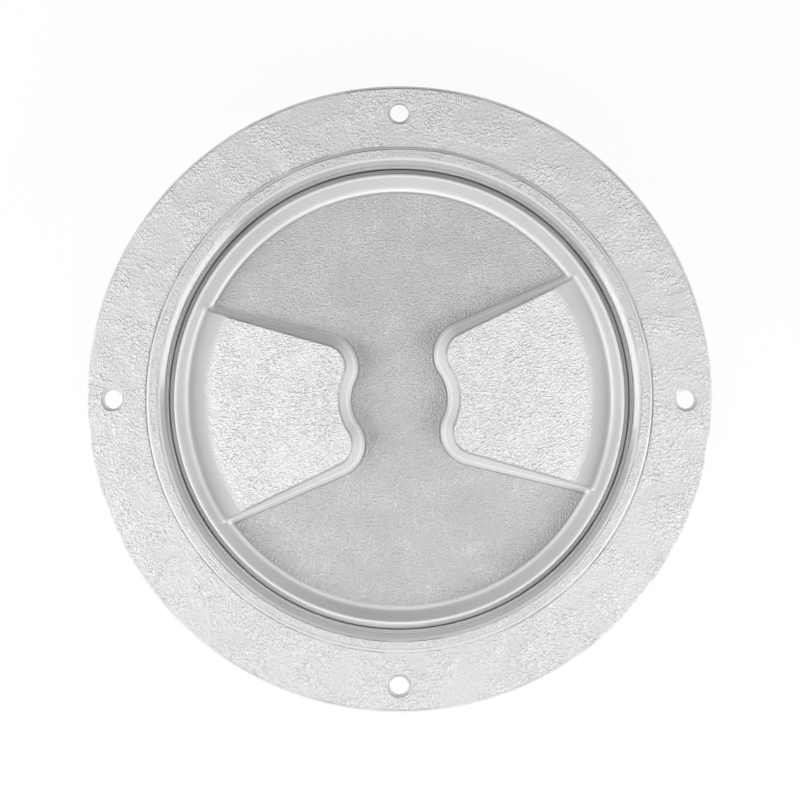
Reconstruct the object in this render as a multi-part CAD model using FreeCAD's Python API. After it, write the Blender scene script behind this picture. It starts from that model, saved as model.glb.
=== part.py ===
import FreeCAD, Part
import math
import os

Vector = FreeCAD.Vector

# Screw-out deck inspection plate, in millimetres.
# The frame's origin is the centre of the flange's mounting face, and +Z points out of the deck.

# Radial sizes of the hatch, from the clear opening outwards
clear_opening_diameter = 102.0
thread_depth = 1.6
thread_radial_play = 0.4
seal_cord_diameter = 2.5
seal_side_clearance = 0.3
seal_seat_clearance = 0.5
rim_gap = 1.55
bevel_width = 2.2
collar_width = 2.65
flange_width = 14.65

# Heights and thicknesses of the flange ring
flange_thickness = 3.15
flange_edge_cut = 0.5
collar_height = 0.45
collar_edge_cut = 0.2
bevel_drop = 2.1
seat_depth = 4.0
seat_wall = 2.0
ledge_thickness = 1.4
sleeve_depth = 20.0
sleeve_wall = 2.6
sleeve_edge_cut = 0.5

# Fixing holes
fixing_count = 4
fixing_hole_diameter = 4.5
fixing_inset = 6.3
fixing_edge_chamfer = 0.3

# Coarse screw thread, right-handed, so that the lid rises when it turns anticlockwise
thread_pitch = 6.0
thread_base_width = 3.2
thread_crest_width = 1.6
thread_axial_play = 0.35
thread_root_sink = 0.4
thread_end_run = 6.0
ring_thread_turns = 1.5
ring_thread_start_angle = 20.0
ring_thread_drop = 3.2
lid_thread_turns = 1.05
lid_thread_rise = 2.2

# Rubber seal, squeezed between the ledge and the lid's shoulder
seal_squeezed_height = 2.15
seal_corner_cut = 0.65

# Lid
lid_rest_turn = 5.0
lid_recess = 0.3
lid_crest_width = 0.6
lid_edge_cut = 0.2
lid_lip_thickness = 1.0
lid_lip_clearance = 0.3
dish_depth = 4.6
dish_wall_run = 2.75
dish_foot_cut = 0.6
dish_floor_thickness = 2.4
lid_neck_overlap = 0.6
skirt_depth = 16.5
skirt_wall = 2.4
skirt_edge_cut = 0.5
skirt_root_cut = 1.2

# Ramped grip pads that stand on the dish floor, left and right of the hourglass channel
pad_count = 2
pad_end_height = 4.4
pad_ramp_angle = 4.8
pad_wall_angle = 62.0
pad_side_angle = 18.4
pad_lobe_reach = 9.6
pad_lobe_offset = 9.3
pad_lobe_radius = 7.7
pad_valley_reach = 12.1
pad_shell = 2.2
pad_root_sink = 0.6
pad_foot_cut = 0.6

# Radii that follow from the sizes above
thread_crest_radius_ring = clear_opening_diameter / 2
thread_root_radius_ring = thread_crest_radius_ring + thread_depth
thread_crest_radius_lid = thread_root_radius_ring - thread_radial_play
thread_root_radius_lid = thread_crest_radius_lid - thread_depth
lid_neck_radius = thread_crest_radius_lid
seal_inner_radius = lid_neck_radius + seal_side_clearance
seat_radius = seal_inner_radius + seal_cord_diameter + seal_seat_clearance
lid_rim_radius = seat_radius - rim_gap
lid_lip_radius = seat_radius - lid_lip_clearance
dish_floor_radius = lid_rim_radius - lid_crest_width - dish_wall_run
collar_inner_radius = seat_radius + bevel_width
collar_outer_radius = collar_inner_radius + collar_width
flange_radius = collar_outer_radius + flange_width
fixing_circle_radius = flange_radius - fixing_inset
seat_outer_radius = seat_radius + seat_wall
sleeve_outer_radius = thread_root_radius_ring + sleeve_wall
skirt_inner_radius = thread_root_radius_lid - skirt_wall

# Heights that follow from the sizes above
collar_top = flange_thickness + collar_height
bevel_foot = collar_top - bevel_drop
ledge_z = -seat_depth
seat_bottom = ledge_z - ledge_thickness
lid_rim_z = collar_top - lid_recess
dish_floor_z = lid_rim_z - dish_depth
dish_underside_z = dish_floor_z - dish_floor_thickness
lid_shoulder_z = ledge_z + seal_squeezed_height
lid_lip_top = lid_shoulder_z + lid_lip_thickness
lid_neck_bottom = ledge_z - lid_neck_overlap


def corner_wire(corners, place):
    """Closed wire through corners (x, y), each of which may add the length that is cut off it.

    The function place turns a point of the plane into a point in space.
    """
    count = len(corners)
    points = []
    for index, (x, y, *cut) in enumerate(corners):
        corner = Vector(x, y, 0)
        if not cut:
            points.append(place(corner))
            continue
        before = corners[index - 1]
        after = corners[(index + 1) % count]
        back = Vector(before[0] - x, before[1] - y, 0).normalize()
        ahead = Vector(after[0] - x, after[1] - y, 0).normalize()
        points.append(place(corner + back * cut[0]))
        points.append(place(corner + ahead * cut[0]))
    return Part.makePolygon(points + points[:1])


def on_section(point):
    """A profile point (radius, height) placed on the XZ plane."""
    return Vector(point.x, 0, point.y)


def turned(corners):
    """Solid of revolution about Z from corners that give a radius and a height."""
    face = Part.Face(corner_wire(corners, on_section))
    return face.revolve(Vector(0, 0, 0), Vector(0, 0, 1), 360)


def thread_ridge(root_radius, outwards, bottom_z, turns, start_angle):
    """Helical ridge of trapezoid section, sunk a little into the wall that carries it."""
    sunk = root_radius - outwards * thread_root_sink
    crest = root_radius + outwards * thread_depth
    slope = (thread_base_width - thread_crest_width) / 2 / thread_depth
    sunk_half = thread_base_width / 2 + slope * thread_root_sink
    crest_half = thread_crest_width / 2
    section = [
        (sunk, -sunk_half),
        (crest, -crest_half),
        (crest, crest_half),
        (sunk, sunk_half),
    ]
    profile = corner_wire(section, on_section)
    path = Part.makeHelix(thread_pitch, thread_pitch * turns, root_radius)
    ridge = Part.Wire(path.Edges).makePipeShell([profile], True, True)
    for at_top in (False, True):
        ridge = ridge.cut(thread_end_cutter(root_radius, outwards, turns, at_top))
    ridge.rotate(Vector(0, 0, 0), Vector(0, 0, 1), start_angle)
    ridge.translate(Vector(0, 0, bottom_z))
    return ridge


def thread_end_cutter(root_radius, outwards, turns, at_top):
    """Wedge that slopes the end of a ridge down into its wall over the end run."""
    ahead = -1 if at_top else 1
    end_z = thread_pitch * turns if at_top else 0
    reach = thread_base_width
    low = root_radius - outwards * thread_root_sink
    high = root_radius + outwards * (thread_depth + thread_root_sink)
    corners = [
        (low, -ahead * reach),
        (low, 0),
        (high, ahead * thread_end_run),
        (high, -ahead * reach),
    ]
    points = [Vector(x, y, end_z - thread_pitch) for x, y in corners]
    face = Part.Face(Part.makePolygon(points + points[:1]))
    wedge = face.extrude(Vector(0, 0, 2 * thread_pitch))
    if at_top:
        wedge.rotate(Vector(0, 0, 0), Vector(0, 0, 1), 360 * turns)
    return wedge


def fixing_hole(angle):
    """Drill for one fixing hole, with a small chamfer at its mouth."""
    radius = fixing_hole_diameter / 2
    drill = Part.makeCylinder(radius, flange_thickness)
    mouth = Part.makeCone(
        radius,
        radius + fixing_edge_chamfer,
        fixing_edge_chamfer,
        Vector(0, 0, flange_thickness - fixing_edge_chamfer),
    )
    drill = drill.fuse(mouth)
    drill.translate(Vector(fixing_circle_radius, 0, 0))
    drill.rotate(Vector(0, 0, 0), Vector(0, 0, 1), angle)
    return drill


def flange_ring():
    """Flange, raised collar, seal seat and threaded sleeve, moulded in one piece."""
    slope_down = seat_outer_radius - sleeve_outer_radius
    body = turned([
        (seat_outer_radius, 0),
        (flange_radius, 0),
        (flange_radius, flange_thickness, flange_edge_cut),
        (collar_outer_radius, flange_thickness),
        (collar_outer_radius, collar_top, collar_edge_cut),
        (collar_inner_radius, collar_top, collar_edge_cut),
        (seat_radius, bevel_foot),
        (seat_radius, ledge_z),
        (thread_root_radius_ring, ledge_z),
        (thread_root_radius_ring, -sleeve_depth, sleeve_edge_cut),
        (sleeve_outer_radius, -sleeve_depth, sleeve_edge_cut),
        (sleeve_outer_radius, seat_bottom - slope_down),
        (seat_outer_radius, seat_bottom),
    ])
    top = ledge_z - ring_thread_drop
    bottom = top - thread_pitch * ring_thread_turns
    ridge = thread_ridge(
        thread_root_radius_ring, -1, bottom, ring_thread_turns, ring_thread_start_angle
    )
    body = body.fuse(ridge)
    for index in range(fixing_count):
        body = body.cut(fixing_hole(360 * index / fixing_count))
    return body


def o_ring():
    """Rubber ring of round cord, flattened where the ledge and the shoulder squeeze it."""
    outer_radius = seal_inner_radius + seal_cord_diameter
    top_z = ledge_z + seal_squeezed_height
    return turned([
        (seal_inner_radius, ledge_z, seal_corner_cut),
        (outer_radius, ledge_z, seal_corner_cut),
        (outer_radius, top_z, seal_corner_cut),
        (seal_inner_radius, top_z, seal_corner_cut),
    ])


def pad_outline(inset, z):
    """Pad outline at height z: two lobes and the valley between them, then straight sides."""
    side = math.radians(pad_side_angle)
    lobe_x = pad_lobe_reach + pad_lobe_radius
    lobe_y = pad_lobe_offset
    notch = pad_valley_reach - pad_lobe_reach
    valley_radius = (notch ** 2 + lobe_y ** 2) / (2 * notch) - pad_lobe_radius
    valley_x = pad_valley_reach - valley_radius
    lobe = pad_lobe_radius - inset
    side_start = Vector(lobe_x - lobe * math.sin(side), lobe_y + lobe * math.cos(side), z)
    run = (flange_radius - side_start.x) / math.cos(side)
    side_end = side_start + Vector(math.cos(side), math.sin(side), 0) * run
    to_valley = Vector(valley_x - lobe_x, -lobe_y, 0).normalize()
    meeting = Vector(lobe_x, lobe_y, z) + to_valley * lobe
    lobe_tip = Vector(lobe_x - lobe, lobe_y, z)
    valley_tip = Vector(pad_valley_reach + inset, 0, z)

    def mirrored(point):
        return Vector(point.x, -point.y, point.z)

    edges = [
        Part.makeLine(side_end, side_start),
        Part.Arc(side_start, lobe_tip, meeting).toShape(),
        Part.Arc(meeting, valley_tip, mirrored(meeting)).toShape(),
        Part.Arc(mirrored(meeting), mirrored(lobe_tip), mirrored(side_start)).toShape(),
        Part.makeLine(mirrored(side_start), mirrored(side_end)),
        Part.makeLine(mirrored(side_end), side_end),
    ]
    return Part.Wire(edges)


def pad_block(extra_inset, low_z, ramp_drop, outer_radius):
    """Drafted pad with its ramped top, cut off by a cylinder at its outer end."""
    draft = 1 / math.tan(math.radians(pad_wall_angle))
    high_z = dish_floor_z + pad_end_height + pad_root_sink
    low = pad_outline(extra_inset + (low_z - dish_floor_z) * draft, low_z)
    high = pad_outline(extra_inset + (high_z - dish_floor_z) * draft, high_z)
    drafted = Part.makeLoft([low, high], True, True)
    ramp = math.tan(math.radians(pad_ramp_angle))
    inner_top = dish_floor_z + pad_end_height - ramp_drop + pad_valley_reach * ramp
    outer_top = inner_top - flange_radius * ramp
    corners = [(0, low_z), (flange_radius, low_z), (flange_radius, outer_top), (0, inner_top)]
    points = [Vector(x, -flange_radius, z) for x, z in corners]
    under_ramp = Part.Face(Part.makePolygon(points + points[:1])).extrude(Vector(0, 2 * flange_radius, 0))
    barrel = Part.makeCylinder(outer_radius, high_z - low_z, Vector(0, 0, low_z))
    return drafted.common(under_ramp).common(barrel)


def pad_foot(outer_radius):
    """Low sloping plinth that leads from the dish floor into a pad's wall."""
    draft = 1 / math.tan(math.radians(pad_wall_angle))
    low_z = dish_floor_z - pad_root_sink
    high_z = dish_floor_z + pad_foot_cut
    low = pad_outline(-pad_foot_cut - pad_root_sink, low_z)
    high = pad_outline(pad_foot_cut * draft, high_z)
    barrel = Part.makeCylinder(outer_radius, high_z - low_z, Vector(0, 0, low_z))
    return Part.makeLoft([low, high], True, True).common(barrel)


def grip_pad():
    """One pad with its sloping foot."""
    outer_radius = dish_floor_radius + dish_wall_run / 2
    block = pad_block(0, dish_floor_z - pad_root_sink, 0, outer_radius)
    return block.fuse(pad_foot(outer_radius))


def pad_hollow():
    """Space under a pad, which leaves the pad a shell of even thickness."""
    inset = pad_shell / math.sin(math.radians(pad_wall_angle))
    return pad_block(inset, dish_underside_z - pad_root_sink, pad_shell, skirt_inner_radius)


def lid():
    """Dished screw-out lid with its grip pads, skirt and thread, moulded in one piece."""
    neck_slope = lid_neck_radius - thread_root_radius_lid
    body = turned([
        (0, dish_floor_z),
        (dish_floor_radius, dish_floor_z, dish_foot_cut),
        (lid_rim_radius - lid_crest_width, lid_rim_z, lid_edge_cut),
        (lid_rim_radius, lid_rim_z, lid_edge_cut),
        (lid_rim_radius, lid_lip_top),
        (lid_lip_radius, lid_lip_top, lid_edge_cut),
        (lid_lip_radius, lid_shoulder_z, lid_edge_cut),
        (lid_neck_radius, lid_shoulder_z),
        (lid_neck_radius, lid_neck_bottom),
        (thread_root_radius_lid, lid_neck_bottom - neck_slope),
        (thread_root_radius_lid, -skirt_depth, skirt_edge_cut),
        (skirt_inner_radius, -skirt_depth, skirt_edge_cut),
        (skirt_inner_radius, dish_underside_z, skirt_root_cut),
        (0, dish_underside_z),
    ])
    for index in range(pad_count):
        pad = grip_pad()
        pad.rotate(Vector(0, 0, 0), Vector(0, 0, 1), 360 * index / pad_count)
        body = body.fuse(pad)
    for index in range(pad_count):
        hollow = pad_hollow()
        hollow.rotate(Vector(0, 0, 0), Vector(0, 0, 1), 360 * index / pad_count)
        body = body.cut(hollow)
    body.rotate(Vector(0, 0, 0), Vector(0, 0, 1), lid_rest_turn)
    bottom = -skirt_depth + lid_thread_rise
    ring_top = ledge_z - ring_thread_drop
    ring_bottom = ring_top - thread_pitch * ring_thread_turns
    flank_width = (thread_base_width - thread_crest_width) / 2
    overlap_share = (thread_depth - thread_radial_play) / thread_depth
    ridges_half = thread_crest_width + flank_width * overlap_share
    centre_lift = thread_pitch / 2 - ridges_half - thread_axial_play
    rise = bottom - ring_bottom + thread_pitch / 2 - centre_lift
    start_angle = ring_thread_start_angle + 360 * rise / thread_pitch
    ridge = thread_ridge(thread_root_radius_lid, 1, bottom, lid_thread_turns, start_angle)
    return body.fuse(ridge)


def main():
    os.makedirs("parts", exist_ok=True)
    for name, build in (("flange_ring", flange_ring), ("o_ring", o_ring), ("lid", lid)):
        shape = build().removeSplitter()
        shape.exportStep(f"parts/{name}.step")
        print(name, len(shape.Solids), "solid", shape.isValid(), round(shape.Volume / 1000, 2), "cm3")


main()
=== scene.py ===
import math

import bmesh
import bpy
import numpy as np
from mathutils.geometry import delaunay_2d_cdt
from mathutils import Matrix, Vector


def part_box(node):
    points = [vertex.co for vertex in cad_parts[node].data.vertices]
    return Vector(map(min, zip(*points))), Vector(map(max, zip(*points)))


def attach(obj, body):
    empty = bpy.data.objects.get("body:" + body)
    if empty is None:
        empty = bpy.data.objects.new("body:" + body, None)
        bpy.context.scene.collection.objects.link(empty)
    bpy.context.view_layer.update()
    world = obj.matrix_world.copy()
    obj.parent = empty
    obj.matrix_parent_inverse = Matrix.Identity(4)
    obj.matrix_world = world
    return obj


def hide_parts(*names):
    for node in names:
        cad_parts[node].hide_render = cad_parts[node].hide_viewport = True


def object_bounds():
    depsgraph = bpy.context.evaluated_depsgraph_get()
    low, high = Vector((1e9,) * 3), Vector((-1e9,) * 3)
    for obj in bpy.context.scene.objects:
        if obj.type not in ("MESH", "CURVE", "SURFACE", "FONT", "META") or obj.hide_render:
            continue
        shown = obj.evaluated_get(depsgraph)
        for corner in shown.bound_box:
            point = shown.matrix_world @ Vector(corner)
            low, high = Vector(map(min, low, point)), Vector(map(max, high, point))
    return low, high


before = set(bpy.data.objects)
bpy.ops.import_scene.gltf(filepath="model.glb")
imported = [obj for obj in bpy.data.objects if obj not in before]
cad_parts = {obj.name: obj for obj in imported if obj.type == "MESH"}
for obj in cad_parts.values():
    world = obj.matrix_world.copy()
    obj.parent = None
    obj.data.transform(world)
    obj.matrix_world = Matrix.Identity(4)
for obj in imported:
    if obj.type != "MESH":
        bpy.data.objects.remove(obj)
cad_low, cad_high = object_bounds()
ring_low, ring_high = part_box("flange_ring")
lid_low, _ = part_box("lid")

# All sizes are in millimetres until a mesh is made, and angles are in degrees.
MM = 0.001
AROUND = 480
WELD = 1e-6

# Ring, from the frame and outwards in
mounting_face_z = 0.0
mounting_seam_radius = 60.0
flange_radius = ring_high.x / MM
collar_top = ring_high.z / MM
sleeve_bottom = ring_low.z / MM
collar_height = 0.45
flange_top = collar_top - collar_height
collar_outer_radius = 60.35
collar_inner_radius = 57.7
seat_radius = 55.5
seat_outer_radius = 57.5
bevel_radius = 57.45
bevel_top = 3.1
groove_radius = 56.3
groove_top = 2.24
groove_width = 0.2
groove_depth = 0.2
groove_draft = 0.02
groove_step = 0.12
facet_drop = 0.42
ledge_z = -4.0
seat_bottom = -5.4
ring_bore_radius = 52.6
sleeve_outer_radius = 55.2
sleeve_cone_bottom = seat_bottom - (seat_outer_radius - sleeve_outer_radius)

# Fixing holes, each in a square patch of the ring's grid
HOLE_COUNT = 4
hole_radius = 2.25
hole_circle_radius = 68.7
hole_edge_round = 0.3
hole_foot_round = 0.1
hole_wall_foot = 0.3
PATCH_HALF = 5
PATCH_REACH = 4.2
PATCH_SHARES = (0.3, 0.6, 0.85)

# Lid
lid_turn = 5.0
rim_radius = 53.95
rim_z = 3.3
rim_width = 0.6
dish_depth = 4.6
dish_wall_run = 2.75
dish_floor_thickness = 2.4
dish_floor_z = rim_z - dish_depth
dish_floor_radius = 50.6
dish_wall_slope = dish_depth / dish_wall_run
join_radius = 52.45
shoulder_z = -1.85
lip_radius = 55.3
lip_top = -0.85
neck_radius = 52.2
neck_bottom = -4.6
core_radius = 50.6
skirt_radius = 48.2
skirt_bottom = lid_low.z / MM
underside_z = dish_floor_z - dish_floor_thickness
skirt_root_round = 1.2
skirt_root_run = 0.4

# Ramped pads, in the lid's own frame with the pad on the +X side
pad_end_height = 4.4
pad_ramp_angle = 4.8
pad_wall_angle = 62.0
pad_side_angle = 18.4
pad_lobe_reach = 9.6
pad_lobe_offset = 9.3
pad_lobe_radius = 7.7
pad_valley_reach = 12.1
pad_shell = 2.2
foot_round = 0.83
top_round = 0.42
pad_ramp = math.tan(math.radians(pad_ramp_angle))
pad_wall = math.tan(math.radians(pad_wall_angle))
pad_shell_inset = pad_shell * math.hypot(1, pad_wall) / pad_wall

# Rows and spacings of the dish's triangulated faces
OUTLINE_SPACING = 0.4
LATTICE_PITCH = 1.5
BAND_GAP = 0.06
SHEET_GAP = 0.3
FOOT_MARKS = (-2.6, -1.8, -1.0, -0.5, 0, 0.5, 1.0)
WALL_SHARES = (0.33, 0.67)
TOP_MARKS = (-1.0, -0.5, 0, 0.5, 1.0, 2.2, 4.5)
RIM_CIRCLES = np.arange(49.6, join_radius - 0.1, 0.25)
SKIRT_ROOT_CIRCLES = skirt_radius - np.array((0.06, 0.2, 0.4, 0.65, 0.9, 1.2, 1.6))

# Arcs at rounded corners, and the points close to the ends of a straight run
ARC_STEP = 22.5
RUN_SUPPORT = 0.35

# Screw threads
thread_pitch = 6.0
thread_depth = 1.6
thread_base_half = 1.6
thread_crest_half = 0.8
thread_crest_cut = 0.15
thread_crest_bevel = 0.1
thread_sink = 0.4
thread_sink_spread = 0.2
thread_end_run = 7.0
thread_radial_play = 0.4
thread_axial_play = 0.35
ring_thread_bottom = -16.2
ring_thread_turns = 1.5
ring_thread_angle = 20.0
lid_thread_bottom = skirt_bottom + 2.2
lid_thread_turns = 1.05

# Weights of the surface finishes: leather, fine and pebble grain, and a fourth weight, named edge, that is
# painted light (above 0) or painted shade (below 0)
SMOOTH = (0.0, 0.0, 0.0, 0.0)
LEATHER = (1.0, 0.0, 0.0, 0.0)
COLLAR = (0.8, 0.4, 0.0, 0.0)
# Painted highlight on rounded corners
PAINTED_EDGE_HIGHLIGHT = (0.0, 0.0, 0.0, 0.45)
# Painted light on the walls of the seal gap
PAINTED_LIGHT = (0.0, 0.0, 0.0, 0.8)
# Painted shade on the ring's bevel
PAINTED_SHADE = (0.0, 0.0, 0.0, -0.4)
FINISHES = ("leather", "fine", "pebble", "edge")

# Heights of the grains, their effect on roughness, the painted light and shade that the grain's height and
# each finish add to the tone, and the plastic's own roughness and tone
PEBBLE_RELIEF = 1.1
LEATHER_RELIEF = 0.85
CREASE_RELIEF = 0.18
FINE_RELIEF = 0.7
SWELL_RELIEF = 0.08
FINISH_DULLNESS = {"leather": 0.14, "fine": 0.18, "pebble": 0.12, "edge": 0.1}
# Tone by finish is painted light: the pebble-grained pads painted lighter, the fine-grained floor painted
# darker, and the edge weight's painted highlights and shade
FINISH_PAINTED_LIGHT = {"leather": 0.015, "fine": -0.13, "pebble": 0.115, "edge": 0.28}
# Painted light and shade of the grain: taller grain lighter, its hollows darker
GRAIN_PAINTED_SHADING = 0.28
BASE_TONE = 0.55
CLOUD_TONE = 0.08
MARK_TONE = 0.16
BASE_DULLNESS = 0.15
CLOUD_DULLNESS = 0.12
MARK_DULLNESS = 0.1
PLASTIC_IOR = 1.58


def rounded_corner(before, corner, after, rounding):
    """Points of the arc that rounds off a corner between its two neighbours."""
    back = (before - corner) / np.linalg.norm(before - corner)
    ahead = (after - corner) / np.linalg.norm(after - corner)
    half = math.acos(np.clip(back @ ahead, -1, 1)) / 2
    centre = corner + (back + ahead) / np.linalg.norm(back + ahead) * rounding / math.sin(half)
    reach = rounding / math.tan(half)
    start = corner + back * reach - centre
    end = corner + ahead * reach - centre
    turn = math.pi - 2 * half
    count = max(2, math.ceil(math.degrees(turn) / ARC_STEP))
    arc = []
    for k in range(count + 1):
        share = k / count
        near = math.sin((1 - share) * turn) / math.sin(turn)
        far = math.sin(share * turn) / math.sin(turn)
        arc.append(centre + start * near + end * far)
    return arc


def run_marks(length, step):
    """Places of the points inside a straight run: even steps, and one close to either end."""
    marks = set(np.linspace(0, length, max(1, math.ceil(length / step)) + 1)[1:-1])
    if length > 4 * RUN_SUPPORT:
        marks |= {RUN_SUPPORT, length - RUN_SUPPORT}
    elif length > 1.5 * RUN_SUPPORT:
        marks |= {length / 5, length * 4 / 5}
    return sorted(marks)


def corner_finish(before, after, rounding):
    """Finish at a corner, from those of the runs before and after it: a rounded corner gets a painted
    highlight unless both runs carry the same painted light or painted shade.
    """
    if rounding and not (before == after and after in (PAINTED_SHADE, PAINTED_LIGHT)):
        return PAINTED_EDGE_HIGHLIGHT
    return after if before == after else SMOOTH


def corner_path(corners, step):
    """Points along corners (radius, height, rounding, finish of the run after), with their finishes."""
    places = [np.array(corner[:2], float) for corner in corners]
    points = []
    finishes = []
    for index, (_, _, rounding, finish) in enumerate(corners):
        arc = [places[index]]
        if rounding and 0 < index < len(corners) - 1:
            arc = rounded_corner(places[index - 1], places[index], places[index + 1], rounding)
        before = corners[index - 1][3] if index else finish
        if points:
            start = points[-1]
            run = arc[0] - start
            length = np.linalg.norm(run)
            for mark in run_marks(length, step):
                points.append(start + run * mark / length)
                finishes.append(before)
        points.extend(arc)
        finishes.extend([corner_finish(before, finish, rounding)] * len(arc))
    return np.array(points), np.array(finishes, float)


def revolved(path, finishes):
    """Grid of points turned about Z, as rows along the path and columns around."""
    angles = 2 * math.pi * np.arange(AROUND) / AROUND
    points = np.empty((len(path), AROUND, 3))
    points[:, :, 0] = path[:, :1] * np.cos(angles)
    points[:, :, 1] = path[:, :1] * np.sin(angles)
    points[:, :, 2] = path[:, 1:]
    weights = np.repeat(finishes[:, None, :], AROUND, axis=1)
    return points, weights


def grid_faces(rows, columns, skip=()):
    """Quads of a grid that closes around its columns."""
    faces = []
    for row in range(rows - 1):
        for column in range(columns):
            if (row, column) in skip:
                continue
            after = (column + 1) % columns
            faces.append((
                row * columns + column,
                row * columns + after,
                (row + 1) * columns + after,
                (row + 1) * columns + column,
            ))
    return faces


def shell(points, faces, weights=None):
    """Part of a mesh, with the weights of its finishes, which are smooth if none are given."""
    points = np.asarray(points, float).reshape(-1, 3)
    if weights is None:
        weights = np.zeros((len(points), len(FINISHES)))
    return {"points": points, "faces": faces, "weights": np.asarray(weights, float).reshape(len(points), -1)}


def make_piece(name, shells, turn=0.0):
    """One welded, smooth-shaded mesh from shells, turned about Z, with its finish weights."""
    points = np.concatenate([part["points"] for part in shells]) * MM
    weights = np.concatenate([part["weights"] for part in shells])
    angle = math.radians(turn)
    x = points[:, 0] * math.cos(angle) - points[:, 1] * math.sin(angle)
    y = points[:, 0] * math.sin(angle) + points[:, 1] * math.cos(angle)
    points[:, 0], points[:, 1] = x, y
    faces = []
    offset = 0
    for part in shells:
        faces.extend([tuple(corner + offset for corner in face) for face in part["faces"]])
        offset += len(part["points"])
    mesh = bpy.data.meshes.new(name)
    mesh.from_pydata(points.tolist(), [], faces)
    for column, finish in enumerate(FINISHES):
        layer = mesh.attributes.new(finish, "FLOAT", "POINT")
        layer.data.foreach_set("value", weights[:, column].astype(np.float32))
    weld(mesh)
    piece = bpy.data.objects.new(name, mesh)
    bpy.context.scene.collection.objects.link(piece)
    return piece


def weld(mesh):
    """Joins the seams of a mesh, drops loose points, faces every side outwards and shades it smooth."""
    editing = bmesh.new()
    editing.from_mesh(mesh)
    bmesh.ops.remove_doubles(editing, verts=editing.verts, dist=WELD)
    loose = [vertex for vertex in editing.verts if not vertex.link_faces]
    bmesh.ops.delete(editing, geom=loose, context="VERTS")
    bmesh.ops.recalc_face_normals(editing, faces=editing.faces)
    editing.to_mesh(mesh)
    editing.free()
    mesh.shade_smooth()


def thread_ridge(root_radius, outwards, bottom_z, turns, start_angle):
    """Helical ridge that rises from its wall, with ends that run out into it."""
    lower = (
        (-thread_sink, -thread_base_half - thread_sink_spread),
        (0.0, -thread_base_half),
        (thread_depth - thread_crest_cut, -thread_crest_half - thread_crest_bevel),
        (thread_depth, -thread_crest_half + thread_crest_bevel),
    )
    section = lower + tuple((depth, -up) for depth, up in reversed(lower))
    count = int(AROUND * turns / 2)
    length = turns * 2 * math.pi * root_radius
    points = []
    for step in range(count + 1):
        share = step / count
        angle = math.radians(start_angle + 360 * turns * share)
        along = min(share, 1 - share) * length
        height = min(1.0, along / thread_end_run)
        middle = bottom_z + thread_pitch * turns * share
        for depth, up in section:
            radius = root_radius + outwards * ((depth + thread_sink) * height - thread_sink)
            points.append((radius * math.cos(angle), radius * math.sin(angle), middle + up))
    width = len(section)
    faces = grid_faces(count + 1, width)
    faces.append(tuple(range(width)))
    faces.append(tuple(count * width + corner for corner in range(width)))
    return shell(points, faces)


def hole_patch(grid, weights, rows, column, edge_rows):
    """Rings of quads that lead from a square patch of the grid to a round hole, and down its wall."""
    columns = grid.shape[1]
    first, last = rows
    border = [(first, column + k) for k in range(-PATCH_HALF, PATCH_HALF)]
    border += [(row, column + PATCH_HALF) for row in range(first, last)]
    border += [(last, column + k) for k in range(PATCH_HALF, -PATCH_HALF, -1)]
    border += [(row, column - PATCH_HALF) for row in range(last, first, -1)]
    outline = np.array([grid[row, at % columns] for row, at in border])
    finish = weights[(first + last) // 2, column % columns]
    angle = 2 * math.pi * column / columns
    centre = hole_circle_radius * np.array((math.cos(angle), math.sin(angle)))
    away = outline[:, :2] - centre
    direction = away / np.linalg.norm(away, axis=1)[:, None]
    rings = [outline]
    edge_radius, edge_height = edge_rows[0]
    edge = np.column_stack((centre + direction * edge_radius, np.full(len(outline), edge_height)))
    for share in PATCH_SHARES:
        rings.append(outline * (1 - share) + edge * share)
    finishes = [finish] * (len(rings) * len(outline))
    for radius, height in edge_rows:
        rings.append(np.column_stack((centre + direction * radius, np.full(len(outline), height))))
        finishes += [SMOOTH] * len(outline)
    points = np.concatenate(rings)
    return shell(points, grid_faces(len(rings), len(outline)), finishes)


def patch_rows(path, height):
    """First and last row of the path that bound the hole patches on the face at this height."""
    reaches = (hole_circle_radius - PATCH_REACH, hole_circle_radius + PATCH_REACH)
    found = []
    for reach in reaches:
        misses = np.abs(path[:, 0] - reach) + np.abs(path[:, 1] - height)
        found.append(int(np.argmin(misses)))
    return min(found), max(found)


def face_corners(height, inward, finish):
    """Corners that give a flange face the even rows which its hole patches need."""
    steps = np.linspace(-PATCH_REACH, PATCH_REACH, 2 * PATCH_HALF + 1)
    radii = hole_circle_radius + steps
    if inward:
        radii = radii[::-1]
    return [(radius, height, 0, finish) for radius in radii]


def fixing_holes(path, grid, weights):
    """Patches of the fixing holes in both faces of the flange, and the grid's quads that they replace."""
    wall = np.linspace(flange_top - hole_edge_round, hole_wall_foot, 4)
    halfway = 0.3 * hole_edge_round
    down = [(hole_radius + hole_edge_round, flange_top), (hole_radius + halfway, flange_top - halfway)]
    down += [(hole_radius, height) for height in wall]
    up = [
        (hole_radius + hole_foot_round, mounting_face_z),
        (hole_radius, mounting_face_z + hole_foot_round),
        (hole_radius, hole_wall_foot),
    ]
    skip = set()
    patches = []
    for height, edge_rows in ((flange_top, down), (mounting_face_z, up)):
        first, last = patch_rows(path, height)
        for index in range(HOLE_COUNT):
            column = index * AROUND // HOLE_COUNT
            for row in range(first, last):
                for k in range(-PATCH_HALF, PATCH_HALF):
                    skip.add((row, (column + k) % AROUND))
            patches.append(hole_patch(grid, weights, (first, last), column, edge_rows))
    return patches, skip


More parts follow.
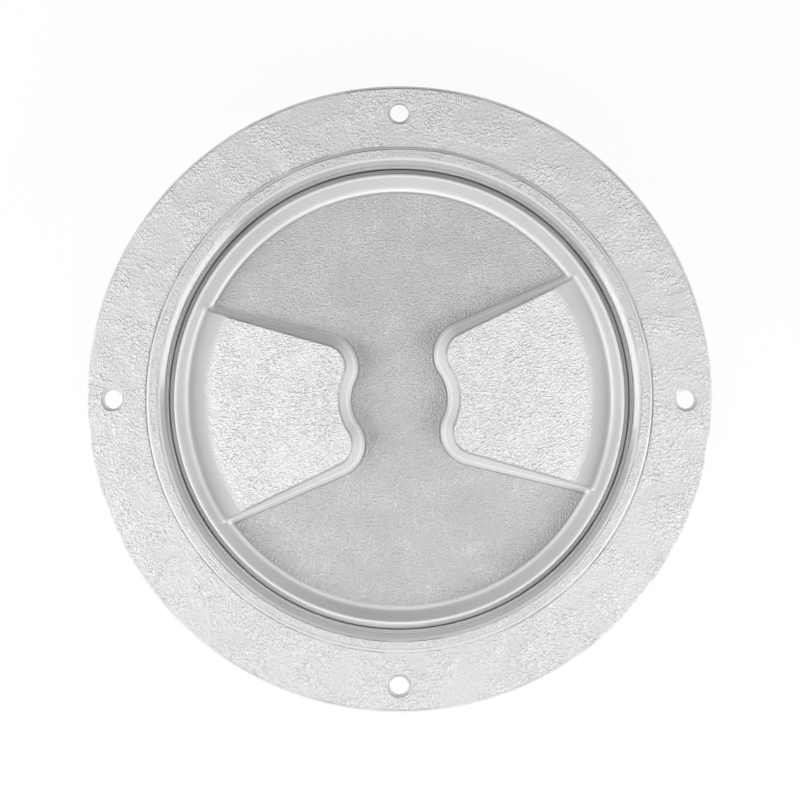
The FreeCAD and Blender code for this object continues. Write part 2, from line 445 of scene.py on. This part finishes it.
def ring_moulding():
    """The flange ring, with its collar, seal seat, sleeve, thread and fixing holes."""
    facet_radius = groove_radius - groove_width
    facet_top = groove_top - groove_step
    groove_foot = groove_top - groove_depth
    seam = (mounting_seam_radius, mounting_face_z, 0, SMOOTH)
    corners = [
        seam,
        *face_corners(mounting_face_z, False, SMOOTH),
        (flange_radius, mounting_face_z, 0.4, SMOOTH),
        (flange_radius, flange_top, 0.35, LEATHER),
        *face_corners(flange_top, True, LEATHER),
        (collar_outer_radius, flange_top, 0.2, SMOOTH),
        (collar_outer_radius, collar_top, 0.25, COLLAR),
        (collar_inner_radius, collar_top, 0.12, SMOOTH),
        # The bevel, groove and facet carry painted shade.
        (bevel_radius, bevel_top, 0.12, PAINTED_SHADE),
        (groove_radius, groove_top, 0.06, PAINTED_SHADE),
        (groove_radius - groove_draft, groove_foot, 0.04, PAINTED_SHADE),
        (facet_radius + groove_draft, groove_foot, 0.04, PAINTED_SHADE),
        (facet_radius, facet_top, 0.06, PAINTED_SHADE),
        # The seat wall in the seal gap carries painted light.
        (seat_radius, facet_top - facet_drop, 0.1, PAINTED_LIGHT),
        (seat_radius, ledge_z, 0.2, SMOOTH),
        (ring_bore_radius, ledge_z, 0.3, SMOOTH),
        (ring_bore_radius, sleeve_bottom, 0.6, SMOOTH),
        (sleeve_outer_radius, sleeve_bottom, 0.6, SMOOTH),
        (sleeve_outer_radius, sleeve_cone_bottom, 0.6, SMOOTH),
        (seat_outer_radius, seat_bottom, 0.6, SMOOTH),
        (seat_outer_radius, mounting_face_z, 0.4, SMOOTH),
        seam,
    ]
    path, finishes = corner_path(corners, step=3.5)
    grid, weights = revolved(path, finishes)
    patches, skip = fixing_holes(path, grid, weights)
    body = shell(grid, grid_faces(len(path), AROUND, skip), weights)
    thread = thread_ridge(ring_bore_radius, -1, ring_thread_bottom, ring_thread_turns, ring_thread_angle)
    return make_piece("ring_moulding", [body, thread, *patches])


def pad_outline(spacing):
    """Points along a pad's foot and the inward direction at each, from its +Y side round to its -Y side."""
    side = math.radians(pad_side_angle)
    lobe = np.array((pad_lobe_reach + pad_lobe_radius, pad_lobe_offset))
    notch = pad_valley_reach - pad_lobe_reach
    valley_radius = (notch ** 2 + pad_lobe_offset ** 2) / (2 * notch) - pad_lobe_radius
    valley = np.array((pad_valley_reach - valley_radius, 0.0))
    normal = np.array((math.sin(side), -math.cos(side)))
    start = lobe - normal * pad_lobe_radius
    along = np.array((math.cos(side), math.sin(side)))
    run = rim_radius - start[0]
    points = []
    inward = []
    for mark in np.arange(run, 0, -spacing):
        points.append(start + along * mark)
        inward.append(normal)
    meeting = math.atan2(valley[1] - lobe[1], valley[0] - lobe[0])
    first = math.atan2(-normal[1], -normal[0])
    sweep = (meeting - first) % (2 * math.pi)
    for k in range(math.ceil(sweep * pad_lobe_radius / spacing) + 1):
        angle = first + min(sweep, k * spacing / pad_lobe_radius)
        outwards = np.array((math.cos(angle), math.sin(angle)))
        points.append(lobe + outwards * pad_lobe_radius)
        inward.append(-outwards)
    edge = math.atan2(lobe[1] - valley[1], lobe[0] - valley[0])
    for angle in np.arange(edge, 0, -spacing / valley_radius)[1:]:
        outwards = np.array((math.cos(angle), math.sin(angle)))
        points.append(valley + outwards * valley_radius)
        inward.append(outwards)
    upper = np.array(points), np.array(inward)
    mirror = np.array((1, -1))
    middle = np.array([(pad_valley_reach, 0.0)]), np.array([(1.0, 0.0)])
    return tuple(
        np.concatenate((upper[k], middle[k], upper[k][::-1] * mirror)) for k in (0, 1)
    )


def side_distance(points, outline):
    """Signed distance of each point, folded onto the +X side, to a pad's foot: positive inside."""
    x, y = points[:, 0], points[:, 1]
    folded = np.column_stack((np.abs(x), y * np.where(x < 0, -1, 1)))
    starts, ends = outline[:-1], outline[1:]
    runs = ends - starts
    lengths = (runs ** 2).sum(1)
    nearest = np.full(len(points), np.inf)
    signs = np.ones(len(points))
    for start, run, length in zip(starts, runs, lengths):
        offset = folded - start
        share = np.clip(offset @ run / length, 0, 1)
        gap = offset - share[:, None] * run
        distance = np.hypot(gap[:, 0], gap[:, 1])
        closer = distance < nearest
        nearest[closer] = distance[closer]
        signs[closer] = np.where(run[0] * offset[closer, 1] - run[1] * offset[closer, 0] > 0, 1, -1)
    return nearest * signs


def blended(low, high, reach, upwards):
    """Larger (upwards) or smaller of two heights, with the corner between them rounded off."""
    overlap = np.maximum(reach - np.abs(low - high), 0) / reach
    bulge = overlap ** 2 * reach / 4
    return np.maximum(low, high) + bulge if upwards else np.minimum(low, high) - bulge


def ramp_height(x):
    """Height of a pad's sloping top."""
    return dish_floor_z + pad_end_height + (pad_valley_reach - np.abs(x)) * pad_ramp


def top_height(points, distance):
    """Height of the dish's upper face: floor, rim wall and ramped pads."""
    radius = np.hypot(points[:, 0], points[:, 1])
    rim = dish_floor_z + (radius - dish_floor_radius) * dish_wall_slope
    base = blended(np.full(len(points), dish_floor_z), rim, foot_round, True)
    pad = blended(dish_floor_z + distance * pad_wall, ramp_height(points[:, 0]), top_round, False)
    return blended(base, pad, foot_round, True)


def under_height(points, distance):
    """Height of the lid's underside: flat, with a hollow under each pad and a rounded skirt root."""
    wall = dish_floor_z + (distance - pad_shell_inset) * pad_wall
    hollow = blended(wall, ramp_height(points[:, 0]) - pad_shell, top_round, False)
    ceiling = blended(np.full(len(points), underside_z), hollow, top_round, True)
    radius = np.hypot(points[:, 0], points[:, 1])
    into = np.clip(radius - (skirt_radius - skirt_root_round), 0, skirt_root_round)
    return ceiling - (skirt_root_round - np.sqrt(skirt_root_round ** 2 - into ** 2))


def wall_bands(outline, inward, height_at, offset):
    """Points of both pads in rows that follow the wall, close together at its foot and its top edge."""
    top = np.full(len(outline), 1.0)
    for _ in range(4):
        place = outline + inward * (offset + top)[:, None]
        top = (height_at(place[:, 0]) - dish_floor_z) / pad_wall
    foot_half = foot_round / pad_wall
    top_half = top_round / pad_wall
    marks = [np.full(len(top), offset + at * foot_half) for at in FOOT_MARKS]
    marks += [offset + foot_half + (top - foot_half - top_half) * share for share in WALL_SHARES]
    marks += [offset + top + at * top_half for at in TOP_MARKS]
    points = np.concatenate([outline + inward * mark[:, None] for mark in marks])
    distances = np.concatenate(marks)
    return np.concatenate((points, -points)), np.concatenate((distances, distances))


def thinned(points, keep, gap):
    """Drops each point after the first keep that lies within a gap of one before it."""
    cells = {}
    chosen = []
    for index, (x, y) in enumerate(points):
        key = (math.floor(x / gap), math.floor(y / gap))
        near = (
            other
            for i in (-1, 0, 1) for j in (-1, 0, 1)
            for other in cells.get((key[0] + i, key[1] + j), ())
        )
        if index < keep or all(math.hypot(x - points[k][0], y - points[k][1]) >= gap for k in near):
            cells.setdefault(key, []).append(index)
            chosen.append(index)
    return np.array(chosen)


def lattice(reach):
    """Even triangular pattern of points inside a circle."""
    steps = np.arange(-math.ceil(reach / LATTICE_PITCH) - 2, math.ceil(reach / LATTICE_PITCH) + 3)
    points = LATTICE_PITCH * np.array([(i + j % 2 / 2, j * math.sqrt(3) / 2) for i in steps for j in steps])
    return points[np.hypot(points[:, 0], points[:, 1]) < reach]


def dish_sheet(height, bands, circles, edge_radius, outline):
    """Triangulated face of the dish inside a circle, in rows along the pads' walls and the rim."""
    angles = 2 * math.pi * np.arange(AROUND) / AROUND
    unit = np.column_stack((np.cos(angles), np.sin(angles)))
    edge = unit * edge_radius
    inside = np.hypot(bands[0][:, 0], bands[0][:, 1]) < edge_radius - 0.2
    band, band_distances = bands[0][inside], bands[1][inside]
    kept = thinned(band, 0, BAND_GAP)
    band, band_distances = band[kept], band_distances[kept]
    fill = np.concatenate([unit * radius for radius in circles] + [lattice(min(circles) - 0.6)])
    points = np.concatenate((edge, band, fill))
    distances = np.concatenate((side_distance(edge, outline), band_distances, side_distance(fill, outline)))
    chosen = thinned(points, len(edge) + len(band), SHEET_GAP)
    result = delaunay_2d_cdt([tuple(point) for point in points[chosen]], [], [], 0, 1e-7)
    spots, faces, sources = result[0], result[2], result[3]
    near = distances[chosen][[items[0] for items in sources]]
    places = np.array([tuple(spot) for spot in spots])
    return np.column_stack((places, height(places, near))), [tuple(face) for face in faces], near


def faded(value, width):
    """0 up to zero, 1 from the width on, and straight between."""
    return np.clip(value / width, 0, 1)


def banded(value, reach):
    """1 at zero, and down to 0 at the reach on either side."""
    return np.clip(1 - np.abs(value) / reach, 0, 1)


def dish_finishes(top, near):
    """Weights of the finishes on the dish: grain on its floor and its pads, a painted highlight on the rim's
    foot and the pads' walls, and a painted shade along the pads' top edges.
    """
    radius = np.hypot(top[:, 0], top[:, 1])
    crest = (ramp_height(top[:, 0]) - dish_floor_z) / pad_wall
    pebble = faded(near - crest - 0.2, 0.3) * faded(46.9 - radius, 2.2)
    fine = faded(-near - 0.4, 0.4) * faded(50.1 - radius, 0.3)
    # Painted shade: a thin dark line just inside the pads' top edges.
    painted_crest_shade = banded(near - crest - 0.15, 0.3) * faded(50.5 - radius, 0.5)
    base = np.where(near > 0.5, ramp_height(top[:, 0]), dish_floor_z)
    rim_foot = dish_floor_z + (radius - dish_floor_radius) * dish_wall_slope - base
    wall = faded(near, 0.3) * faded(crest - near, 0.3) * (radius < dish_floor_radius)
    # Painted highlight on the pads' walls, strongest near their foot.
    painted_wall_light = wall * (0.3 + 0.5 * banded(near - 0.4, 0.3))
    # Edge weight: painted highlight along the rim's foot and on the pads' walls, less the painted shade at
    # the pads' top edges.
    painted_foot_and_wall_light = np.maximum(banded(rim_foot + 0.2, 1.2), painted_wall_light) - 0.7 * painted_crest_shade
    return np.column_stack((np.zeros(len(top)), fine, pebble, painted_foot_and_wall_light))


def lid_outside(outline):
    """The turned outside of the lid, from its rim down to the skirt and up inside it."""
    join_z = dish_floor_z + (join_radius - dish_floor_radius) * dish_wall_slope
    corners = [
        (join_radius, join_z, 0, SMOOTH),
        (rim_radius - rim_width, rim_z, 0.28, SMOOTH),
        # The rim's outer face and the lip below it, in the seal gap, carry painted light.
        (rim_radius, rim_z, 0.28, PAINTED_LIGHT),
        (rim_radius, lip_top, 0.2, PAINTED_LIGHT),
        (lip_radius, lip_top, 0.1, SMOOTH),
        (lip_radius, shoulder_z, 0.2, SMOOTH),
        (neck_radius, shoulder_z, 0.2, SMOOTH),
        (neck_radius, neck_bottom, 0.3, SMOOTH),
        (core_radius, neck_bottom - (neck_radius - core_radius), 0.3, SMOOTH),
        (core_radius, skirt_bottom, 0.6, SMOOTH),
        (skirt_radius, skirt_bottom, 0.6, SMOOTH),
        (skirt_radius, underside_z - skirt_root_round - skirt_root_run, 0, SMOOTH),
    ]
    path, finishes = corner_path(corners, step=1.6)
    grid, weights = revolved(path, finishes)
    flat = grid[-1, :, :2]
    root = np.column_stack((flat, under_height(flat, side_distance(flat, outline))))
    grid = np.concatenate((grid, root[None]))
    weights = np.concatenate((weights, weights[-1:]))
    return shell(grid, grid_faces(len(grid), AROUND), weights)


def lid_moulding():
    """The lid: dish with its pads, rim, shoulder, neck, skirt and thread."""
    outline, inward = pad_outline(OUTLINE_SPACING)
    bands = wall_bands(outline, inward, ramp_height, 0.0)
    top, top_faces, near = dish_sheet(top_height, bands, RIM_CIRCLES, join_radius, outline)
    bands = wall_bands(outline, inward, lambda x: ramp_height(x) - pad_shell, pad_shell_inset)
    under, under_faces, _ = dish_sheet(under_height, bands, SKIRT_ROOT_CIRCLES, skirt_radius, outline)
    shells = [
        shell(top, top_faces, dish_finishes(top, near)),
        lid_outside(outline),
        shell(under, under_faces),
        thread_ridge(core_radius, 1, lid_thread_bottom, lid_thread_turns, lid_thread_angle()),
    ]
    return make_piece("lid_moulding", shells, turn=lid_turn)


def lid_thread_angle():
    """Start of the lid's thread in the lid's own frame, so that it runs midway in the ring's groove."""
    overlap = (thread_depth - thread_radial_play) / thread_depth
    halves = 2 * thread_crest_half + (thread_base_half - thread_crest_half) * overlap
    lift = thread_pitch / 2 - halves - thread_axial_play
    rise = lid_thread_bottom - ring_thread_bottom + thread_pitch / 2 - lift
    return ring_thread_angle + 360 * rise / thread_pitch - lid_turn


class Nodes:
    """Short way to add and link the nodes of one material."""

    def __init__(self, material):
        material.use_nodes = True
        self.tree = material.node_tree
        self.shader = self.tree.nodes["Principled BSDF"]

    def add(self, kind, inputs, **settings):
        """New node with its settings; each input takes a number, a vector or another node's socket."""
        made = self.tree.nodes.new("ShaderNode" + kind)
        for name, value in settings.items():
            setattr(made, name, value)
        for name, value in inputs.items():
            self.fill(made.inputs[name], value)
        return made

    def fill(self, socket, value):
        """Links another node's socket to this one, or sets a plain value."""
        if isinstance(value, bpy.types.NodeSocket):
            self.tree.links.new(value, socket)
        else:
            socket.default_value = value

    def math(self, operation, *values, clamp=False):
        """Result of a calculation with numbers and sockets."""
        inputs = dict(enumerate(values))
        return self.add("Math", inputs, operation=operation, use_clamp=clamp).outputs[0]

    def noise(self, place, detail=1.0, distortion=0.0):
        """Noise with cells of about one unit of the place, from 0 to 1."""
        inputs = {"Vector": place, "Scale": 1.0, "Detail": detail, "Distortion": distortion}
        return self.add("TexNoise", inputs).outputs[0]

    def ramp(self, value, low, high):
        """0 below low, 1 above high and smooth between them."""
        inputs = {"Value": value, "From Min": low, "From Max": high}
        return self.add("MapRange", inputs, interpolation_type="SMOOTHSTEP").outputs[0]

    def cells(self, place, sizes, turn=0.0, shift=0.0):
        """Place measured in cells of the given sizes in millimetres, turned about Z."""
        turned = self.add("Mapping", {"Vector": place, "Rotation": (0, 0, math.radians(-turn))})
        inputs = {
            "Vector": turned.outputs[0],
            "Location": (shift, shift, shift),
            "Scale": [1 / (size * MM) for size in sizes],
        }
        return self.add("Mapping", inputs).outputs[0]

    def grey(self, tone):
        """Colour of an even tone."""
        return self.add("CombineColor", {0: tone, 1: tone, 2: tone}).outputs[0]

    def crease(self, noise, sharpness):
        """Thin raised lines where the noise crosses its middle."""
        away = self.math("ABSOLUTE", self.math("SUBTRACT", noise, 0.5))
        line = self.math("SUBTRACT", 1.0, self.math("MULTIPLY", away, sharpness), clamp=True)
        return self.math("MULTIPLY", line, line)


def polar_place(nodes, place, tangential, radial):
    """Place on a ring in cells, so that a noise there runs along the radius without a seam."""
    parts = nodes.add("SeparateXYZ", {0: place}).outputs
    flat = nodes.add("CombineXYZ", {0: parts[0], 1: parts[1]}).outputs[0]
    radius = nodes.add("VectorMath", {0: flat}, operation="LENGTH").outputs["Value"]
    unit = nodes.add("VectorMath", {0: flat}, operation="NORMALIZE").outputs[0]
    around = (flange_radius + collar_outer_radius) / 2 / tangential
    ring = nodes.add("VectorMath", {0: unit, "Scale": around}, operation="SCALE").outputs[0]
    height = nodes.math("DIVIDE", radius, radial * MM)
    lifted = nodes.add("CombineXYZ", {2: height}).outputs[0]
    return nodes.add("VectorMath", {0: ring, 1: lifted}, operation="ADD").outputs[0]


def pebble_grain(nodes, place):
    """Relief of the pads, in short cells that lean up to the right."""
    patches = nodes.ramp(nodes.noise(nodes.cells(place, (9, 9, 9)), detail=1.0), 0.35, 0.6)
    cells = nodes.cells(place, (0.7, 0.42, 0.7), turn=28.0)
    grain = nodes.noise(cells, detail=1.0, distortion=0.35)
    depth = nodes.math("MULTIPLY_ADD", patches, 0.35, 0.65)
    return nodes.math("MULTIPLY", grain, nodes.math("MULTIPLY", depth, PEBBLE_RELIEF))


def leather_grain(nodes, place):
    """Relief of the flange: patchy small grain, and creases that run along the radius."""
    patches = nodes.ramp(nodes.noise(nodes.cells(place, (8, 8, 8), shift=3.0), detail=1.0), 0.38, 0.6)
    cells = nodes.cells(place, (0.6, 0.6, 0.6), shift=7.0)
    grain = nodes.noise(cells, detail=1.5, distortion=0.5)
    depth = nodes.math("MULTIPLY_ADD", patches, 0.6, 0.4)
    relief = nodes.math("MULTIPLY", grain, nodes.math("MULTIPLY", depth, LEATHER_RELIEF))
    crease = nodes.crease(nodes.noise(polar_place(nodes, place, 2.6, 6.5), detail=1.5), 16.0)
    zone = nodes.ramp(nodes.noise(nodes.cells(place, (12, 12, 12), shift=21.0)), 0.52, 0.72)
    return nodes.math("MULTIPLY_ADD", crease, nodes.math("MULTIPLY", zone, CREASE_RELIEF), relief)


def handling_marks(nodes, place, fine):
    """Light scratches and scuffs where the dish has been touched."""
    cells = nodes.cells(place, (1.6, 6, 6), turn=-12.0, shift=2.0)
    scratch = nodes.crease(nodes.noise(cells, detail=2.0), 40.0)
    zone = nodes.ramp(nodes.noise(nodes.cells(place, (8, 8, 8), shift=17.0)), 0.46, 0.62)
    scuff = nodes.math("MULTIPLY", nodes.ramp(fine, 0.5, 0.75), 0.8)
    return nodes.math("MULTIPLY", nodes.math("MAXIMUM", scratch, scuff), zone)


def moulded_plastic(name, main_finish, grain, worn):
    """Pale moulded plastic with its main grain or a fine one wherever the mesh asks for that finish, and
    painted light and shade from the grain's height and the finish weights.
    """
    material = bpy.data.materials.new(name)
    nodes = Nodes(material)
    place = nodes.add("TexCoord", {}).outputs["Object"]
    weights = {
        finish: nodes.add("Attribute", {}, attribute_name=finish).outputs["Fac"]
        for finish in (main_finish, "fine", "edge")
    }
    fine = nodes.noise(nodes.cells(place, (0.45, 0.45, 0.45), shift=11.0), detail=1.5)
    cloud = nodes.noise(nodes.cells(place, (16, 16, 16), shift=9.0), detail=2.0)
    height = nodes.math("MULTIPLY", nodes.noise(nodes.cells(place, (4, 4, 4), shift=5.0)), SWELL_RELIEF)
    tone = nodes.math("MULTIPLY_ADD", cloud, CLOUD_TONE, BASE_TONE - CLOUD_TONE / 2)
    dullness = nodes.math("MULTIPLY_ADD", cloud, CLOUD_DULLNESS, BASE_DULLNESS)
    reliefs = {main_finish: grain(nodes, place), "fine": nodes.math("MULTIPLY", fine, FINE_RELIEF)}
    for finish, relief in reliefs.items():
        raised = nodes.math("MULTIPLY", relief, weights[finish])
        height = nodes.math("ADD", raised, height)
        # Taller grain is painted lighter and its hollows darker: painted light and shade of the grain.
        tone = nodes.math("MULTIPLY_ADD", raised, GRAIN_PAINTED_SHADING, tone)
    for finish, weight in weights.items():
        dullness = nodes.math("MULTIPLY_ADD", weight, FINISH_DULLNESS[finish], dullness)
        # Tone by finish is painted light and shade.
        tone = nodes.math("MULTIPLY_ADD", weight, FINISH_PAINTED_LIGHT[finish], tone)
    if worn:
        marks = nodes.math("MULTIPLY", handling_marks(nodes, place, fine), weights["fine"])
        tone = nodes.math("MULTIPLY_ADD", marks, MARK_TONE, tone)
        dullness = nodes.math("MULTIPLY_ADD", marks, MARK_DULLNESS, dullness)
    bump = nodes.add("Bump", {"Height": height, "Strength": 1.0, "Distance": MM}).outputs[0]
    nodes.shader.inputs["IOR"].default_value = PLASTIC_IOR
    nodes.fill(nodes.shader.inputs["Base Color"], nodes.grey(tone))
    nodes.fill(nodes.shader.inputs["Roughness"], dullness)
    nodes.fill(nodes.shader.inputs["Normal"], bump)
    return material


def seal_rubber():
    """Dark rubber, a little dusty, with a fine moulded skin."""
    material = bpy.data.materials.new("seal_rubber")
    nodes = Nodes(material)
    place = nodes.add("TexCoord", {}).outputs["Object"]
    dust = nodes.noise(nodes.cells(place, (3, 3, 3)), detail=4.0)
    skin = nodes.noise(nodes.cells(place, (0.3, 0.3, 0.3)), detail=2.0)
    tone = nodes.math("MULTIPLY_ADD", dust, 0.05, 0.03)
    nodes.fill(nodes.shader.inputs["Base Color"], nodes.grey(tone))
    nodes.fill(nodes.shader.inputs["Roughness"], nodes.math("MULTIPLY_ADD", dust, 0.25, 0.45))
    bump = nodes.add("Bump", {"Height": skin, "Strength": 1.0, "Distance": 0.01 * MM})
    nodes.fill(nodes.shader.inputs["Normal"], bump.outputs[0])
    return material


def area_light(name, azimuth, elevation, distance, width, height, power):
    """Soft rectangular lamp that looks at the object's centre."""
    lamp = bpy.data.lights.new(name, "AREA")
    lamp.shape = "RECTANGLE"
    lamp.size = width
    lamp.size_y = height
    lamp.energy = power
    holder = bpy.data.objects.new(name, lamp)
    turn, rise = math.radians(azimuth), math.radians(elevation)
    holder.location = (
        distance * math.cos(rise) * math.cos(turn),
        distance * math.cos(rise) * math.sin(turn),
        distance * math.sin(rise),
    )
    holder.rotation_euler = (math.pi / 2 - rise, 0, turn + math.pi / 2)
    bpy.context.scene.collection.objects.link(holder)


def white_floor():
    """Pale floor that looks nearly white to the camera, and keeps a soft shadow."""
    mesh = bpy.data.meshes.new("floor")
    reach = 1.5
    white_share = 0.93
    low = cad_low.z
    corners = [(-reach, -reach, low), (reach, -reach, low), (reach, reach, low), (-reach, reach, low)]
    mesh.from_pydata(corners, [], [(0, 1, 2, 3)])
    floor = bpy.data.objects.new("floor", mesh)
    bpy.context.scene.collection.objects.link(floor)
    material = bpy.data.materials.new("floor")
    material.use_nodes = True
    tree = material.node_tree
    shader = tree.nodes["Principled BSDF"]
    shader.inputs["Base Color"].default_value = (0.9, 0.9, 0.9, 1)
    shader.inputs["Roughness"].default_value = 0.9
    glow = tree.nodes.new("ShaderNodeEmission")
    glow.inputs["Strength"].default_value = 1.0
    path = tree.nodes.new("ShaderNodeLightPath")
    share = tree.nodes.new("ShaderNodeMath")
    share.operation = "MULTIPLY"
    share.inputs[1].default_value = white_share
    mix = tree.nodes.new("ShaderNodeMixShader")
    tree.links.new(path.outputs["Is Camera Ray"], share.inputs[0])
    tree.links.new(share.outputs[0], mix.inputs[0])
    tree.links.new(shader.outputs[0], mix.inputs[1])
    tree.links.new(glow.outputs[0], mix.inputs[2])
    tree.links.new(mix.outputs[0], tree.nodes["Material Output"].inputs[0])
    mesh.materials.append(material)


def dim_world():
    """Even white light from all round."""
    world = bpy.data.worlds.new("world")
    bpy.context.scene.world = world
    world.use_nodes = True
    background = world.node_tree.nodes["Background"]
    background.inputs["Color"].default_value = (1, 1, 1, 1)
    background.inputs["Strength"].default_value = 0.3


def camera():
    """Camera straight above the plate, which fills the frame as in the photograph."""
    distance = 0.575
    frame_width = 0.1916
    shift = 0.7 * frame_width / 800
    data = bpy.data.cameras.new("camera")
    data.sensor_width = 36
    data.lens = data.sensor_width * distance / frame_width
    holder = bpy.data.objects.new("camera", data)
    holder.location = (shift, -shift, flange_top * MM + distance)
    bpy.context.scene.collection.objects.link(holder)
    bpy.context.scene.camera = holder


camera()
white_floor()
dim_world()

# Lamps: azimuth and elevation in degrees, distance, width and height in metres, power in watts
area_light("west_lamp", 193, 27, 0.37, 0.26, 0.15, 1.1)
area_light("south_east_lamp", 336, 27, 0.37, 0.26, 0.15, 1.05)
area_light("south_lamp", 268, 58, 0.36, 0.15, 0.15, 0.25)
area_light("north_lamp", 90, 38, 0.6, 0.5, 0.3, 0.35)
bpy.context.scene.view_settings.view_transform = "Standard"

ring = ring_moulding()
ring.data.materials.append(moulded_plastic("ring_plastic", "leather", leather_grain, worn=False))
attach(ring, "deck_frame")
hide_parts("flange_ring")

lid = lid_moulding()
lid.data.materials.append(moulded_plastic("lid_plastic", "pebble", pebble_grain, worn=True))
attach(lid, "cover")
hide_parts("lid")

seal = bpy.data.objects["o_ring"]
rubber = seal_rubber()
for slot in seal.material_slots:
    slot.material = rubber

for piece in (ring, lid):
    print(piece.name, len(piece.data.vertices), "points", len(piece.data.polygons), "faces")
